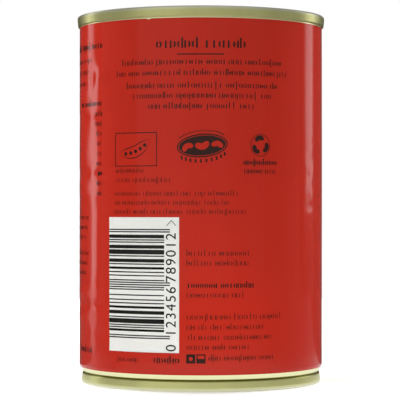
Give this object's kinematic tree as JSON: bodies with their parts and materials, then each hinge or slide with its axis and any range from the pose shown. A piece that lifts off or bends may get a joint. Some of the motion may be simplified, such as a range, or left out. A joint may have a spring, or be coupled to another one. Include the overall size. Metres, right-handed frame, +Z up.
{
  "type": "food can",
  "caption": "Closed steel food can with a wrapped paper label, a double seam at each end and a necked-in foot so that cans stack.",
  "frame": {"origin": "centre of the ring that the can stands on, at ground level", "axes": "+Z up along the can's axis, from its necked foot to its lid; -Y towards the viewer, through the back of the label with its barcode"},
  "size_m": [0.0748, 0.0748, 0.11],
  "materials": {
    "lacquered_plate": "gold epoxy lacquer on tinplate, glossy",
    "end_lacquer": "gold epoxy lacquer on tinplate ends, satin gloss",
    "label_paper": "gloss-varnished printed paper, slightly wrinkled"
  },
  "bodies": {
    "root": {"can_body": "lacquered_plate", "top_end": "end_lacquer", "bottom_end": "end_lacquer", "label": "label_paper"}
  },
  "joints": []
}
